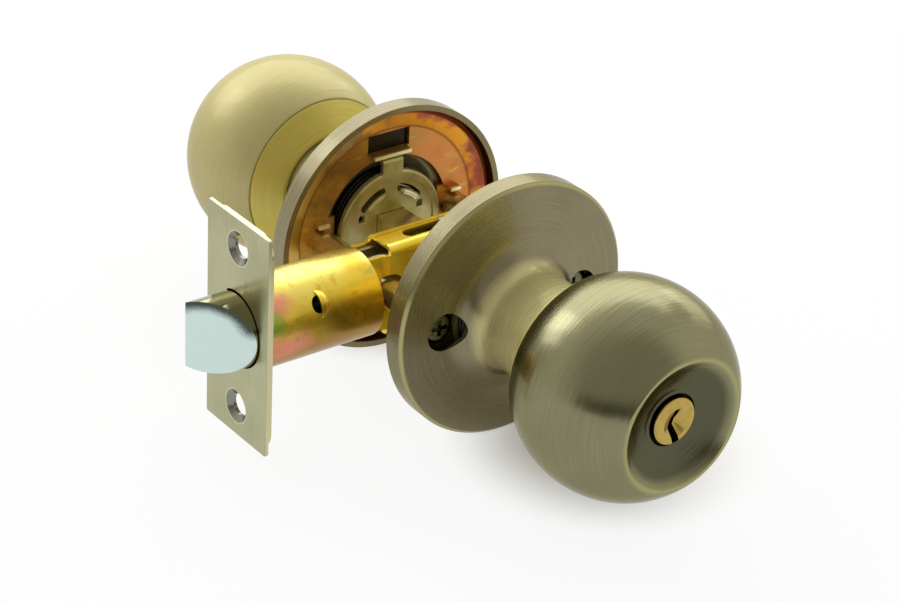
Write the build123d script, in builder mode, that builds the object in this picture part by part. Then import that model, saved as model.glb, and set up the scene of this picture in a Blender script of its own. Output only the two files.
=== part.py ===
from build123d import *
from math import cos, hypot, radians, sin, sqrt
import os

os.makedirs("parts", exist_ok=True)

# Ball-knob tubular latch set, in millimetres, +Z up.
# The origin is where the knob axis (Y) crosses the latch axis (X), in the middle of the door.
# The bolt points to -X, the keyed outside knob to -Y and the inside knob to +Y.
# Places along Y are given from the door's face outwards, unless a comment says otherwise.

# Door, latch position, sheet and fits
door = 43.0
backset = 60.0
sheet = 1.0
fit = 0.1
seat = 0.05
room = 0.3

# Rose with its flared neck
rose_r = 32.8
rose_h = 5.5
rose_edge = 0.8
rim_wall = 1.5
neck_r = 12.8
flare_r = 8.0
neck_end = 29.0
screw_hole_r = 4.9

# Ball knob
ball_r = 26.3
ball_centre = 46.9
ball_rear = 32.3
ball_wall = 1.2
ball_roll = 0.4
dish_rim_r = 16.5
dish_round = 1.0
dish_depth = 4.0
dish_floor_r = 7.5
front_hole_r = 6.6
cap_gap = 0.5
cap_depth = 5.8
cap_hem = 0.4
cap_rim = 0.4

# Sleeve, its support and the neck bush
sleeve_r = 10.6
sleeve_wall = 1.2
sleeve_end = 50.0
support_rear = 40.0
support_web = 45.0
support_t = 1.2
bush_length = 8.0
bush_flange_t = 1.2
bush_flange_w = 0.2

# Drive disc and return spring
disc_r = 15.2
disc_t = 1.6
disc_round = 0.7
disc_step_r = 13.0
disc_step = 0.4
tab_r = 18.6
tab_width = 6.0
tab_t = 1.0
tab_hook = 2.0
tab_round = 0.9
stake_lean = 33.0
stake_half_angle = 17.0
stake_gap = 0.7
stake_proud = 0.7
lug_hole = 1.9
lug_hole_x = 8.8
lug_hole_z = 4.0
return_wire = 1.0
return_r = 14.4
return_pitch = 1.15
return_turns = 2
return_start = 3.6

# Mounting plates, posts and screws
plate_t = 0.9
plate_hole_r = 18.5
plate_flat_r = 25.9
plate_flat = 3.5
plate_crest_set = 3.0
plate_crest = 2.0
plate_edge = 2.8
plate_lap = 2.0
ear_inner = 15.6
ear_half = 6.0
slot_width = 12.4
slot_height = 5.0
slot_z = 22.6
lip_width = 11.0
lip_end = 1.2
nib_width = 3.0
nib_z = 4.6
post_spacing = 40.0
post_r = 3.75
post_bore_depth = 22.0
rivet_r = 2.45
screw_r = 2.0
screw_length = 18.0
screw_head_r = 4.2
screw_head_h = 2.4
screw_head_round = 1.4
screw_recess = 1.2
screw_slot = 1.1

# Spindle
spindle_size = 8.0
spindle_wall = 1.2
spindle_end = 24.0

# Key cylinder and turn button
plug_r = 5.9
plug_proud = 0.95
plug_round = 0.3
keyway_right = [(-0.1, 3.0), (1.2, 3.0), (1.2, 1.2), (0.4, -1.3), (2.2, -6.6)]
keyway_left = [(0.2, -6.6), (-1.5, -1.5), (-0.3, 1.0)]
mouth_r = 3.6
mouth_tip_r = 0.75
mouth_depth = 1.3
mouth_place = (0.6, -0.6)
housing_r = 9.3
housing_rear = 45.0
tower_half = 3.5
tower_top = 13.5
tower_rear = 47.5
tower_step = 0.8
pin_r = 1.05
pin_set = 1.3
pin_pitch = 2.5
pin_margin = 2.0
chamber_top = 12.0
driver_length = 4.0
key_pin_bottom = 0.4
clip_t = 0.8
clip_wide = 1.5
tail_bar_w = 4.0
tail_bar_t = 1.5
socket_r = 2.7
socket_length = 8.0
socket_wall = 0.4
button_rear = 49.0
button_base_w = 11.0
button_base_t = 4.6
button_base_corner = 2.0
button_end_w = 12.1
button_end_t = 2.8
button_end_corner = 1.2
button_round = 0.7
button_proud = 3.9
guide_length = 14.15

# Latch
face_width = 25.4
face_height = 57.0
face_t = 0.9
face_corner = 0.5
face_screw_spacing = 42.0
face_screw_r = 2.8
face_sink_r = 4.2
face_sink_depth = 1.1
bolt_room = 0.4
backing_t = 1.0
backing_inset = 0.4
backing_corner = 5.0
bolt_gap = 0.8
bolt_flat = 4.0
bolt_throw = 11.5
bolt_length = 18.7
bevel_foot = 0.5
pocket_r = 6.4
pocket_depth = 4.2
tube_r = 11.0
tube_wall = 0.9
tube_end = 26.0
seat_x = 40.0
lance_set = 3.5
lance_angle = 33.0
lance_r = 4.2
lance_wall = 0.6
lance_rise = 1.1
tail_r = 2.2
tail_shoulder_r = 3.2
bolt_wire = 1.0
bolt_spring_r = 5.0
bolt_spring_turns = 5
case_half_w = 4.8
case_half_h = 12.0
case_bend = 2.0
case_neck_half_w = 4.2
case_joggle = 2.0
strip_half = 2.3
strip_depth = 0.4
case_front = 20.0
case_rear = 15.0
case_slot_half = 13.0
case_slot_w = 3.6
case_post_r = 4.8
tongue_length = 7.0
hub_r = 6.5
hub_half_w = 5.3
arm_r = 12.3
arm_half_w = 2.0
arm_t = 3.0
arm_start = 0.95
arm_round = 0.8
fork_inner_z = 7.0
fork_outer_z = 9.4
fork_half_w = 2.8
fork_front = 38.5
fork_bar = 2.7

# Values worked out from those above
door_face = door / 2
post_x = post_spacing / 2
rim_in_r = rose_r - rim_wall
plate_crest_r = rose_r - plate_crest_set
neck_bore_r = neck_r - sheet
sleeve_bore_r = sleeve_r - sleeve_wall
disc_front = plate_t + room
disc_back = disc_front + disc_t
square_hole = spindle_size + 2 * fit
spindle_bore = spindle_size - 2 * spindle_wall
ball_in_r = ball_r - ball_wall
rear_out_r = sqrt(ball_r**2 - (ball_centre - ball_rear) ** 2)
rear_in_r = sqrt(ball_in_r**2 - (ball_centre - ball_rear) ** 2)
rim_front = ball_centre + sqrt(ball_r**2 - dish_rim_r**2)
dish_floor = rim_front - dish_depth
housing_front = dish_floor - ball_wall - seat
tower_front = housing_front - tower_step
pin_first = tower_rear + pin_set
pin_count = int((tower_front - pin_margin - pin_first) / pin_pitch) + 1
plug_face = dish_floor + plug_proud
button_front = rim_front + button_proud
face_back = face_t - backset
tube_front = face_back + backing_t
tube_bore_r = tube_r - tube_wall
bolt_r = tube_bore_r - bolt_gap
bolt_tip = -backset - bolt_throw
bolt_rear = bolt_tip + bolt_length


def out(distance):
    return door_face + distance


def on_circle(centre, radius, degrees):
    return (centre[0] + radius * cos(radians(degrees)), centre[1] + radius * sin(radians(degrees)))


# Inside rose: a spun disc with a rim wall and a flared neck
flare_centre = (neck_r + flare_r, out(rose_h + flare_r))
flare_start = neck_r + flare_r
with BuildPart() as inside_rose:
    with BuildSketch():
        with BuildLine():
            Polyline(
                (flare_start, out(rose_h)),
                (rose_r - rose_edge, out(rose_h)),
                (rose_r, out(rose_h - rose_edge)),
                (rose_r, out(0)),
                (rim_in_r, out(0)),
                (rim_in_r, out(rose_h - sheet)),
                (flare_start, out(rose_h - sheet)),
            )
            ThreePointArc(
                (flare_start, out(rose_h - sheet)),
                on_circle(flare_centre, flare_r + sheet, 225),
                (neck_bore_r, out(rose_h + flare_r)),
            )
            Polyline(
                (neck_bore_r, out(rose_h + flare_r)),
                (neck_bore_r, out(neck_end)),
                (neck_r, out(neck_end)),
                (neck_r, out(rose_h + flare_r)),
            )
            ThreePointArc(
                (neck_r, out(rose_h + flare_r)),
                on_circle(flare_centre, flare_r, 225),
                (flare_start, out(rose_h)),
            )
        make_face()
    revolve(axis=Axis.Y)

# Outside rose: the same spinning with two holes to reach the mounting screws
with BuildPart() as outside_rose:
    add(inside_rose.part, rotation=(0, 0, 180))
    with BuildSketch(Plane.XZ.offset(door_face)):
        with Locations((-post_x, 0), (post_x, 0)):
            Circle(screw_hole_r)
    extrude(amount=neck_end, mode=Mode.SUBTRACT)

# Neck bush: a flanged ring in the neck's end that the knob's sleeve turns in
with BuildPart() as inside_bush:
    with BuildSketch():
        with BuildLine():
            Polyline(
                (sleeve_r + fit, out(neck_end - bush_length)),
                (neck_bore_r - seat, out(neck_end - bush_length)),
                (neck_bore_r - seat, out(neck_end)),
                (neck_r + bush_flange_w, out(neck_end)),
                (neck_r + bush_flange_w, out(neck_end + bush_flange_t)),
                (sleeve_r + fit, out(neck_end + bush_flange_t)),
                close=True,
            )
        make_face()
    revolve(axis=Axis.Y)

with BuildPart() as outside_bush:
    add(inside_bush.part, rotation=(0, 0, 180))

# Ball knob shell: a sphere cut off at the rear and dished at the front round a hole
bowl_centre = (rim_front + dish_floor) / 2 + (dish_rim_r**2 - dish_floor_r**2) / (2 * dish_depth)
bowl_r = sqrt(dish_floor_r**2 + (bowl_centre - dish_floor) ** 2)
bowl_in_r = bowl_r + ball_wall
floor_in_r = sqrt(bowl_in_r**2 - (bowl_centre - dish_floor + ball_wall) ** 2)
fold_front = ((ball_in_r**2 - bowl_in_r**2) / (bowl_centre - ball_centre) + ball_centre + bowl_centre) / 2
fold_r = sqrt(ball_in_r**2 - (fold_front - ball_centre) ** 2)


def bowl_point(radius, curve_r):
    return (radius, out(bowl_centre - sqrt(curve_r**2 - radius**2)))


with BuildPart() as inside_knob:
    with BuildSketch() as shell_profile:
        with BuildLine():
            ThreePointArc(
                (rear_out_r, out(ball_rear)),
                (ball_r, out(ball_centre)),
                (dish_rim_r, out(rim_front)),
            )
            ThreePointArc(
                (dish_rim_r, out(rim_front)),
                bowl_point((dish_rim_r + dish_floor_r) / 2, bowl_r),
                (dish_floor_r, out(dish_floor)),
            )
            Polyline(
                (dish_floor_r, out(dish_floor)),
                (front_hole_r, out(dish_floor)),
                (front_hole_r, out(dish_floor - ball_wall)),
                (floor_in_r, out(dish_floor - ball_wall)),
            )
            ThreePointArc(
                (floor_in_r, out(dish_floor - ball_wall)),
                bowl_point((fold_r + floor_in_r) / 2, bowl_in_r),
                (fold_r, out(fold_front)),
            )
            ThreePointArc(
                (fold_r, out(fold_front)),
                (ball_in_r, out(ball_centre)),
                (rear_in_r, out(ball_rear)),
            )
            Line((rear_in_r, out(ball_rear)), (rear_out_r, out(ball_rear)))
        make_face()
        fillet(shell_profile.vertices().sort_by(Axis.Y)[-1], dish_round)
        fillet(shell_profile.vertices().group_by(Axis.Y)[0].sort_by(Axis.X)[-1], ball_roll)
    revolve(axis=Axis.Y)

with BuildPart() as outside_knob:
    add(inside_knob.part, rotation=(0, 0, 180))

# Rear cap: a cone whose rim covers the ball's rear edge, turned in round the neck
cap_rim_r = rear_out_r - ball_roll
cap_edge_r = rear_in_r - seat
cap_hole_r = neck_r + cap_gap
cap_slant = sheet * hypot(cap_depth, cap_edge_r - cap_hole_r) / (cap_edge_r - cap_hole_r)
cap_nose = ball_rear - cap_depth
cap_end = cap_nose + sheet + cap_slant + cap_hem
with BuildPart() as inside_knob_cap:
    with BuildSketch() as cap_profile:
        with BuildLine():
            Polyline(
                (cap_edge_r, out(ball_rear - seat)),
                (cap_rim_r, out(ball_rear - seat)),
                (cap_rim_r, out(ball_rear - seat - cap_rim)),
                (cap_hole_r, out(cap_nose)),
                (cap_hole_r, out(cap_end)),
                (cap_hole_r + sheet, out(cap_end)),
                (cap_hole_r + sheet, out(cap_nose + sheet + cap_slant)),
                (cap_edge_r, out(ball_rear + cap_slant)),
                close=True,
            )
        make_face()
        fillet(cap_profile.vertices().sort_by(Axis.Y)[0], sheet)
    revolve(axis=Axis.Y)

with BuildPart() as outside_knob_cap:
    add(inside_knob_cap.part, rotation=(0, 0, 180))

# Knob support: a pressed ring on the sleeve, out to the ball's inner wall
web_r = sqrt(ball_in_r**2 - max(ball_centre - support_web, support_web + support_t - ball_centre) ** 2) - seat
with BuildPart() as inside_knob_support:
    with BuildSketch():
        with BuildLine():
            Polyline(
                (sleeve_r + seat, out(support_rear)),
                (sleeve_r + support_t, out(support_rear)),
                (sleeve_r + support_t, out(support_web)),
                (web_r, out(support_web)),
                (web_r, out(support_web + support_t)),
                (sleeve_r + seat, out(support_web + support_t)),
                close=True,
            )
        make_face()
    revolve(axis=Axis.Y)

with BuildPart() as outside_knob_support:
    add(inside_knob_support.part, rotation=(0, 0, 180))

# Sleeve: a tube from the drive disc into the knob, with tabs staked through the disc
stake_r = sleeve_r - sleeve_wall / 2
stake_arc = CenterArc((0, 0), stake_r, -stake_half_angle, 2 * stake_half_angle)
stake_angles = [90 - stake_lean, 90 + stake_lean, 270 - stake_lean, 270 + stake_lean]
with BuildPart() as inside_sleeve:
    with BuildSketch(Plane.XZ.offset(-out(disc_back))):
        Circle(sleeve_r)
        Circle(sleeve_bore_r, mode=Mode.SUBTRACT)
    extrude(amount=disc_back - sleeve_end)
    with BuildSketch(Plane.XZ.offset(-out(disc_front - stake_proud))):
        for angle in stake_angles:
            with PolarLocations(0, 1, start_angle=angle):
                SlotArc(stake_arc, sleeve_wall - 2 * fit)
    extrude(amount=-disc_t - stake_proud)

# The outside sleeve is slotted at the top for the cylinder's pin tower
with BuildPart() as outside_sleeve:
    add(inside_sleeve.part, rotation=(0, 0, 180))
    with BuildSketch(Plane.XZ.offset(out(tower_rear - room))):
        with Locations((0, sleeve_r)):
            Rectangle(2 * (tower_half + room), 2 * sleeve_r)
    extrude(amount=sleeve_end, mode=Mode.SUBTRACT)

# Drive disc: turned by the sleeve, turns the spindle, with a hooked tab for the return spring
slot_arc = CenterArc((0, 0), stake_r + stake_gap / 2, -stake_half_angle, 2 * stake_half_angle)
with BuildPart() as inside_drive_disc:
    with BuildSketch(Plane.XZ.offset(-out(disc_front))):
        Circle(disc_r)
        Rectangle(square_hole, square_hole, mode=Mode.SUBTRACT)
        for angle in stake_angles:
            with PolarLocations(0, 1, start_angle=angle):
                SlotArc(slot_arc, sleeve_wall + stake_gap + 2 * fit, mode=Mode.SUBTRACT)
        with GridLocations(2 * lug_hole_x, 2 * lug_hole_z, 2, 2):
            Rectangle(lug_hole, lug_hole, mode=Mode.SUBTRACT)
    extrude(amount=-disc_t)
    front_rings = inside_drive_disc.edges().filter_by(GeomType.CIRCLE).group_by(Axis.Y)[0]
    fillet(front_rings.sort_by(SortBy.RADIUS)[-1], disc_round)
    with BuildSketch(Plane.XZ.offset(-out(disc_front))):
        Circle(disc_step_r)
        Rectangle(square_hole, square_hole, mode=Mode.SUBTRACT)
    extrude(amount=-disc_step, mode=Mode.SUBTRACT)
    with BuildSketch(Plane.YZ) as hook_profile:
        with BuildLine():
            Polyline(
                (out(disc_front + tab_t), disc_r - tab_t),
                (out(disc_front), disc_r - tab_t),
                (out(disc_front), tab_r),
                (out(disc_front + tab_hook), tab_r),
                (out(disc_front + tab_hook), tab_r - tab_t),
                (out(disc_front + tab_t), tab_r - tab_t),
                close=True,
            )
        make_face()
        fillet(hook_profile.vertices().group_by(Axis.Y)[-1].sort_by(Axis.X)[0], tab_round)
    extrude(amount=tab_width / 2, both=True)

with BuildPart() as outside_drive_disc:
    add(inside_drive_disc.part, rotation=(0, 0, 180))

# Return spring: a short coil behind the disc
with BuildPart() as inside_return_spring:
    with BuildLine() as return_path:
        Helix(return_pitch, return_pitch * return_turns, return_r, (0, out(return_start), 0), (0, 1, 0))
    with BuildSketch(Plane(origin=return_path.line @ 0, z_dir=return_path.line % 0)):
        Circle(return_wire / 2)
    sweep(path=return_path.line, is_frenet=True)

with BuildPart() as outside_return_spring:
    add(inside_return_spring.part, rotation=(0, 0, 180))

# Inside mounting plate: a ring with a raised bead, two ears for the posts, a slot and a spring lip
with BuildPart() as inside_plate:
    with BuildSketch():
        with BuildLine():
            Polyline(
                (rim_in_r - fit, out(plate_edge)),
                (plate_crest_r, out(plate_crest)),
                (plate_flat_r, out(plate_flat)),
                (plate_hole_r, out(plate_flat)),
                (plate_hole_r, out(plate_flat + plate_t)),
                (plate_flat_r + plate_t / 4, out(plate_flat + plate_t)),
                (plate_crest_r, out(plate_crest + plate_t)),
                (rim_in_r - fit, out(plate_edge + plate_t)),
                close=True,
            )
        make_face()
    revolve(axis=Axis.Y)
    with BuildSketch(Plane.XZ.offset(-out(plate_flat))):
        for side in (-1, 1):
            with Locations((side * (ear_inner + plate_flat_r) / 2, 0)):
                Rectangle(plate_flat_r - ear_inner, 2 * ear_half)
    extrude(amount=-plate_t)
    with BuildSketch(Plane.XZ.offset(-out(plate_flat))):
        with Locations((-post_x, 0), (post_x, 0)):
            Circle(rivet_r + seat)
        with Locations((0, slot_z)):
            Rectangle(slot_width, slot_height)
    extrude(amount=-plate_t, mode=Mode.SUBTRACT)
    with BuildSketch(Plane.XZ.offset(-out(lip_end))):
        with Locations((0, slot_z - slot_height / 2 - plate_t / 2)):
            Rectangle(lip_width, plate_t)
        with Locations((-post_x, nib_z + plate_t / 2), (post_x, nib_z + plate_t / 2)):
            Rectangle(nib_width, plate_t)
    extrude(amount=lip_end - plate_flat)

# Outside mounting plate: flat on the door, with a hole that the drive disc covers
with BuildPart() as outside_plate:
    with BuildSketch(Plane.XZ.offset(door_face)):
        Circle(rim_in_r - fit)
        Circle(disc_r - plate_lap, mode=Mode.SUBTRACT)
        with Locations((-post_x, 0), (post_x, 0)):
            Circle(screw_r + 2 * fit, mode=Mode.SUBTRACT)
    extrude(amount=plate_t)

# Mounting posts: riveted to the inside plate and threaded for the screws
post_length = door + plate_flat
with BuildPart() as mounting_posts:
    with BuildSketch(Plane.XZ.offset(-out(plate_flat))):
        with Locations((-post_x, 0), (post_x, 0)):
            Circle(post_r)
    extrude(amount=post_length)
    with BuildSketch(Plane.XZ.offset(-out(plate_flat))):
        with Locations((-post_x, 0), (post_x, 0)):
            Circle(rivet_r)
    extrude(amount=-plate_t)
    with BuildSketch(Plane.XZ.offset(door_face)):
        with Locations((-post_x, 0), (post_x, 0)):
            Circle(screw_r + seat)
    extrude(amount=-post_bore_depth, mode=Mode.SUBTRACT)

# Mounting screws: pan heads with a cross recess, seen through the outside rose
with BuildPart() as mounting_screws:
    with BuildSketch(Plane.XZ.offset(out(plate_t))):
        with Locations((-post_x, 0), (post_x, 0)):
            Circle(screw_r)
    extrude(amount=-screw_length)
    with BuildSketch(Plane.XZ.offset(out(plate_t))):
        with Locations((-post_x, 0), (post_x, 0)):
            Circle(screw_head_r)
    extrude(amount=screw_head_h)
    fillet(mounting_screws.edges().group_by(Axis.Y)[0], screw_head_round)
    with BuildSketch(Plane.XZ.offset(out(plate_t + screw_head_h))):
        with Locations((-post_x, 0), (post_x, 0)):
            Rectangle(screw_head_r, screw_slot)
            Rectangle(screw_slot, screw_head_r)
    extrude(amount=-screw_recess, mode=Mode.SUBTRACT)

# Spindle: a square tube through both discs and the latch hub
with BuildPart() as spindle:
    with BuildSketch(Plane.XZ.offset(out(spindle_end))):
        Rectangle(spindle_size, spindle_size)
        Rectangle(spindle_bore, spindle_bore, mode=Mode.SUBTRACT)
    extrude(amount=-2 * out(spindle_end))

# Cylinder housing: a round body in the outside sleeve, with as many pins as its tower on top takes
pin_places = [(0, pin_first + pin_pitch * pin) for pin in range(pin_count)]
with BuildPart() as cylinder_housing:
    with BuildSketch(Plane.XZ.offset(out(housing_rear))):
        Circle(housing_r)
    extrude(amount=housing_front - housing_rear)
    with BuildSketch(Plane.XZ.offset(out(tower_rear))):
        with Locations((0, tower_top / 2)):
            Rectangle(2 * tower_half, tower_top)
    extrude(amount=tower_front - tower_rear)
    with BuildSketch(Plane.XZ.offset(out(housing_rear))):
        Circle(plug_r + fit)
    extrude(amount=housing_front - housing_rear, mode=Mode.SUBTRACT)
    with BuildSketch(Plane.XY):
        for across, along in pin_places:
            with Locations((across, -out(along))):
                Circle(pin_r + seat)
    extrude(amount=chamber_top, mode=Mode.SUBTRACT)

# Key plug: turns in the housing, with a bent keyway in a conical mouth
with BuildPart() as key_plug:
    with BuildSketch(Plane.XZ.offset(out(housing_rear))):
        Circle(plug_r)
    extrude(amount=plug_face - housing_rear)
    fillet(key_plug.edges().group_by(Axis.Y)[0], plug_round)
    with BuildSketch(Plane.XZ.offset(out(housing_rear - clip_t - room))):
        Circle(plug_r - clip_wide)
    extrude(amount=clip_t + room)
    with BuildSketch(Plane.XZ.offset(out(housing_rear + clip_wide))):
        with BuildLine():
            Polyline(*keyway_right, *keyway_left, close=True)
        make_face()
    extrude(amount=plug_face, mode=Mode.SUBTRACT)
    with BuildSketch(Plane.XZ.offset(out(plug_face))):
        with Locations(mouth_place):
            Circle(mouth_r)
    with BuildSketch(Plane.XZ.offset(out(plug_face - mouth_depth))):
        with Locations(mouth_place):
            Circle(mouth_tip_r)
    loft(mode=Mode.SUBTRACT)
    with BuildSketch(Plane.XY):
        for across, along in pin_places:
            with Locations((across, -out(along))):
                Circle(pin_r + seat)
    extrude(amount=plug_r, mode=Mode.SUBTRACT)

# Plug clip: a ring behind the housing that holds the plug in
with BuildPart() as plug_clip:
    with BuildSketch(Plane.XZ.offset(out(housing_rear - seat))):
        Circle(plug_r + clip_wide)
        Circle(plug_r - clip_wide + seat, mode=Mode.SUBTRACT)
        with Locations((0, -plug_r)):
            Rectangle(clip_wide * 2, 2 * plug_r, mode=Mode.SUBTRACT)
    extrude(amount=-clip_t)

# Key pins in the plug and driver pins in the tower, parted at the plug's surface
key_pin_top = sqrt((plug_r - seat) ** 2 - pin_r**2)
driver_bottom = plug_r + fit + seat
with BuildPart() as key_pins:
    with BuildSketch(Plane.XY.offset(key_pin_bottom)):
        for across, along in pin_places:
            with Locations((across, -out(along))):
                Circle(pin_r)
    extrude(amount=key_pin_top - key_pin_bottom)

with BuildPart() as driver_pins:
    with BuildSketch(Plane.XY.offset(driver_bottom)):
        for across, along in pin_places:
            with Locations((across, -out(along))):
                Circle(pin_r)
    extrude(amount=driver_length)

# Tailpiece: a flat bar from the plug through the spindle into the lock bar's socket
tail_start = housing_rear - clip_t - room
with BuildPart() as tailpiece:
    with BuildSketch(Plane.XZ.offset(out(tail_start))):
        Rectangle(tail_bar_t, tail_bar_w)
    extrude(amount=-out(tail_start) - socket_length + 2 * room)

# Button guide: a plain bush in the inside sleeve, where the outside has its cylinder
with BuildPart() as button_guide:
    with BuildSketch(Plane.XZ.offset(-out(housing_front))):
        Circle(housing_r)
        Circle(plug_r + fit, mode=Mode.SUBTRACT)
    extrude(amount=guide_length)

# Turn button: a round shank through the dish with a thumb grip
with BuildPart() as turn_button:
    with BuildSketch(Plane.XZ.offset(-out(button_rear))):
        Circle(plug_r)
    extrude(amount=button_rear - plug_face)
    with BuildSketch(Plane.XZ.offset(-out(plug_face))):
        RectangleRounded(button_base_t, button_base_w, button_base_corner)
    with BuildSketch(Plane.XZ.offset(-out(button_front))):
        RectangleRounded(button_end_t, button_end_w, button_end_corner)
    loft()
    fillet(turn_button.edges().group_by(Axis.Y)[-1], button_round)

# Lock bar: from the button to a round socket in the middle of the spindle
with BuildPart() as lock_bar:
    with BuildSketch(Plane.XZ.offset(-out(button_rear))):
        Rectangle(tail_bar_t, tail_bar_w)
    extrude(amount=out(button_rear) - socket_length)
    with BuildSketch(Plane.XZ):
        Circle(socket_r)
    extrude(amount=-socket_length - socket_wall)
    with BuildSketch(Plane.XZ):
        Circle(socket_r - socket_wall)
    extrude(amount=-socket_length, mode=Mode.SUBTRACT)

# The bolt's section: a circle with a flat on the inside, and holes to match
def bolt_outline(clearance):
    with BuildSketch(mode=Mode.PRIVATE) as outline:
        Circle(bolt_r + clearance)
        with Locations((bolt_flat + clearance, 0)):
            Rectangle(2 * bolt_r, 4 * bolt_r, align=(Align.MIN, Align.CENTER), mode=Mode.SUBTRACT)
    return outline.sketch


# Faceplate with its bolt hole and two countersunk screw holes
face_screws = [(-backset, 0, -face_screw_spacing / 2), (-backset, 0, face_screw_spacing / 2)]
sink_align = (Align.CENTER, Align.CENTER, Align.MIN)
with BuildPart() as faceplate:
    with BuildSketch(Plane.YZ.offset(-backset)):
        RectangleRounded(face_width, face_height, face_corner)
        add(bolt_outline(bolt_room), mode=Mode.SUBTRACT)
    extrude(amount=face_t)
    with Locations(*face_screws):
        Cone(
            face_sink_r,
            face_screw_r,
            face_sink_depth,
            rotation=(0, 90, 0),
            align=sink_align,
            mode=Mode.SUBTRACT,
        )

# Backing plate behind the faceplate
with BuildPart() as backing_plate:
    with BuildSketch(Plane.YZ.offset(face_back)):
        RectangleRounded(face_width - 2 * backing_inset, face_height - 2 * backing_inset, backing_corner)
        add(bolt_outline(bolt_room), mode=Mode.SUBTRACT)
        with Locations((0, -face_screw_spacing / 2), (0, face_screw_spacing / 2)):
            Circle(face_screw_r, mode=Mode.SUBTRACT)
    extrude(amount=backing_t)
    with Locations(*face_screws):
        Cone(
            face_sink_r,
            face_screw_r,
            face_sink_depth,
            rotation=(0, 90, 0),
            align=sink_align,
            mode=Mode.SUBTRACT,
        )

# Latch tube with two louvres pressed out of its wall in front of the spring seat
lance_deep = tube_r + lance_rise - lance_r
lance_x = -seat_x - lance_set
lance_y = lance_deep * cos(radians(lance_angle))
lance_z = lance_deep * sin(radians(lance_angle))
with BuildPart() as latch_tube:
    with BuildSketch(Plane.YZ.offset(tube_front)):
        Circle(tube_r)
    extrude(amount=-tube_end - tube_front)
    with Locations((lance_x, -lance_y, lance_z), (lance_x, lance_y, -lance_z)):
        half_align = (Align.CENTER, Align.MIN, Align.CENTER)
        Sphere(lance_r, arc_size3=180, rotation=(0, 0, -90), align=half_align)
        Sphere(lance_r - lance_wall, mode=Mode.SUBTRACT)
    with BuildSketch(Plane.YZ.offset(tube_front)):
        Circle(tube_bore_r)
    extrude(amount=-tube_end - tube_front, mode=Mode.SUBTRACT)

# Spring seat: a plate across the tube with a hole for the bolt's tail
with BuildPart() as spring_seat:
    with BuildSketch(Plane.YZ.offset(-seat_x)):
        Circle(tube_bore_r - seat)
        Circle(tail_r + room, mode=Mode.SUBTRACT)
    extrude(amount=sheet)

# Latch bolt: flat at the back, with a slanted face towards the outside, and a round collar in the
# tube with a pocket for its spring
collar_front = tube_front + fit
with BuildPart() as latch_bolt:
    with BuildSketch(Plane.YZ.offset(bolt_tip)):
        add(bolt_outline(0))
    extrude(amount=bolt_length)
    with BuildSketch(Plane.YZ.offset(collar_front)):
        Circle(bolt_r)
    extrude(amount=bolt_rear - collar_front)
    with BuildSketch(Plane.XY):
        with BuildLine():
            Polyline(
                (bolt_tip, bolt_flat),
                (-backset - bevel_foot, -bolt_r),
                (-backset - bevel_foot, -2 * bolt_r),
                (bolt_tip - bolt_r, -2 * bolt_r),
                (bolt_tip - bolt_r, bolt_flat),
                close=True,
            )
        make_face()
    extrude(amount=bolt_r, both=True, mode=Mode.SUBTRACT)
    with BuildSketch(Plane.YZ.offset(bolt_rear - pocket_depth)):
        Circle(pocket_r)
    extrude(amount=pocket_depth, mode=Mode.SUBTRACT)

# Bolt tail: a rod from the bolt's pocket through the seat to the retractor
tail_front = bolt_rear - pocket_depth
with BuildPart() as bolt_tail:
    with BuildSketch(Plane.YZ.offset(tail_front)):
        Circle(tail_shoulder_r)
    extrude(amount=sheet)
    with BuildSketch(Plane.YZ.offset(tail_front)):
        Circle(tail_r)
    extrude(amount=-fork_front + fork_bar - tail_front)

# Bolt spring: a coil between the pocket's floor and the seat
spring_front = tail_front + bolt_wire / 2 + fit
spring_length = -seat_x - bolt_wire / 2 - fit - spring_front
with BuildPart() as bolt_spring:
    with BuildLine() as bolt_path:
        bolt_pitch = spring_length / bolt_spring_turns
        Helix(bolt_pitch, spring_length, bolt_spring_r, (spring_front, 0, 0), (1, 0, 0))
    with BuildSketch(Plane(origin=bolt_path.line @ 0, z_dir=bolt_path.line % 0)):
        Circle(bolt_wire / 2)
    sweep(path=bolt_path.line, is_frenet=True)

# Retractor: two cut-out plates joined by a front bar and by lugs that the hub's arms push
lug_x = arm_half_w + arm_start
fork_rear = lug_x + sheet
with BuildPart() as retractor:
    with BuildSketch(Plane.XZ.offset(-fork_half_w)):
        with Locations(((fork_rear - fork_front) / 2, 0)):
            Rectangle(fork_rear + fork_front, 2 * fork_outer_z)
        with Locations(((fork_rear - fork_front + fork_bar) / 2, 0)):
            Rectangle(fork_rear + fork_front - fork_bar, 2 * fork_inner_z, mode=Mode.SUBTRACT)
    extrude(amount=2 * fork_half_w)
    with BuildSketch(Plane.XZ.offset(sheet - fork_half_w)):
        with Locations(((lug_x - fork_front + fork_bar) / 2, 0)):
            Rectangle(lug_x + fork_front - fork_bar, 2 * fork_outer_z)
    extrude(amount=2 * fork_half_w - 2 * sheet, mode=Mode.SUBTRACT)
    with BuildSketch(Plane.YZ.offset(-fork_front)):
        Circle(tail_r + seat)
    extrude(amount=fork_bar, mode=Mode.SUBTRACT)

# Latch hub: a barrel in the case's sides with a square hole and two arms
with BuildPart() as latch_hub:
    with BuildSketch(Plane.XZ.offset(-hub_half_w)):
        Circle(hub_r)
    extrude(amount=2 * hub_half_w)
    with BuildSketch(Plane.XZ.offset(-arm_t / 2)):
        Rectangle(2 * arm_half_w, 2 * arm_r)
    extrude(amount=arm_t)
    fillet(latch_hub.edges().filter_by(Axis.Y).group_by(Axis.Z)[-1], arm_round)
    fillet(latch_hub.edges().filter_by(Axis.Y).group_by(Axis.Z)[0], arm_round)
    with BuildSketch(Plane.XZ.offset(-hub_half_w)):
        Rectangle(square_hole, square_hole)
    extrude(amount=2 * hub_half_w, mode=Mode.SUBTRACT)

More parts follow.
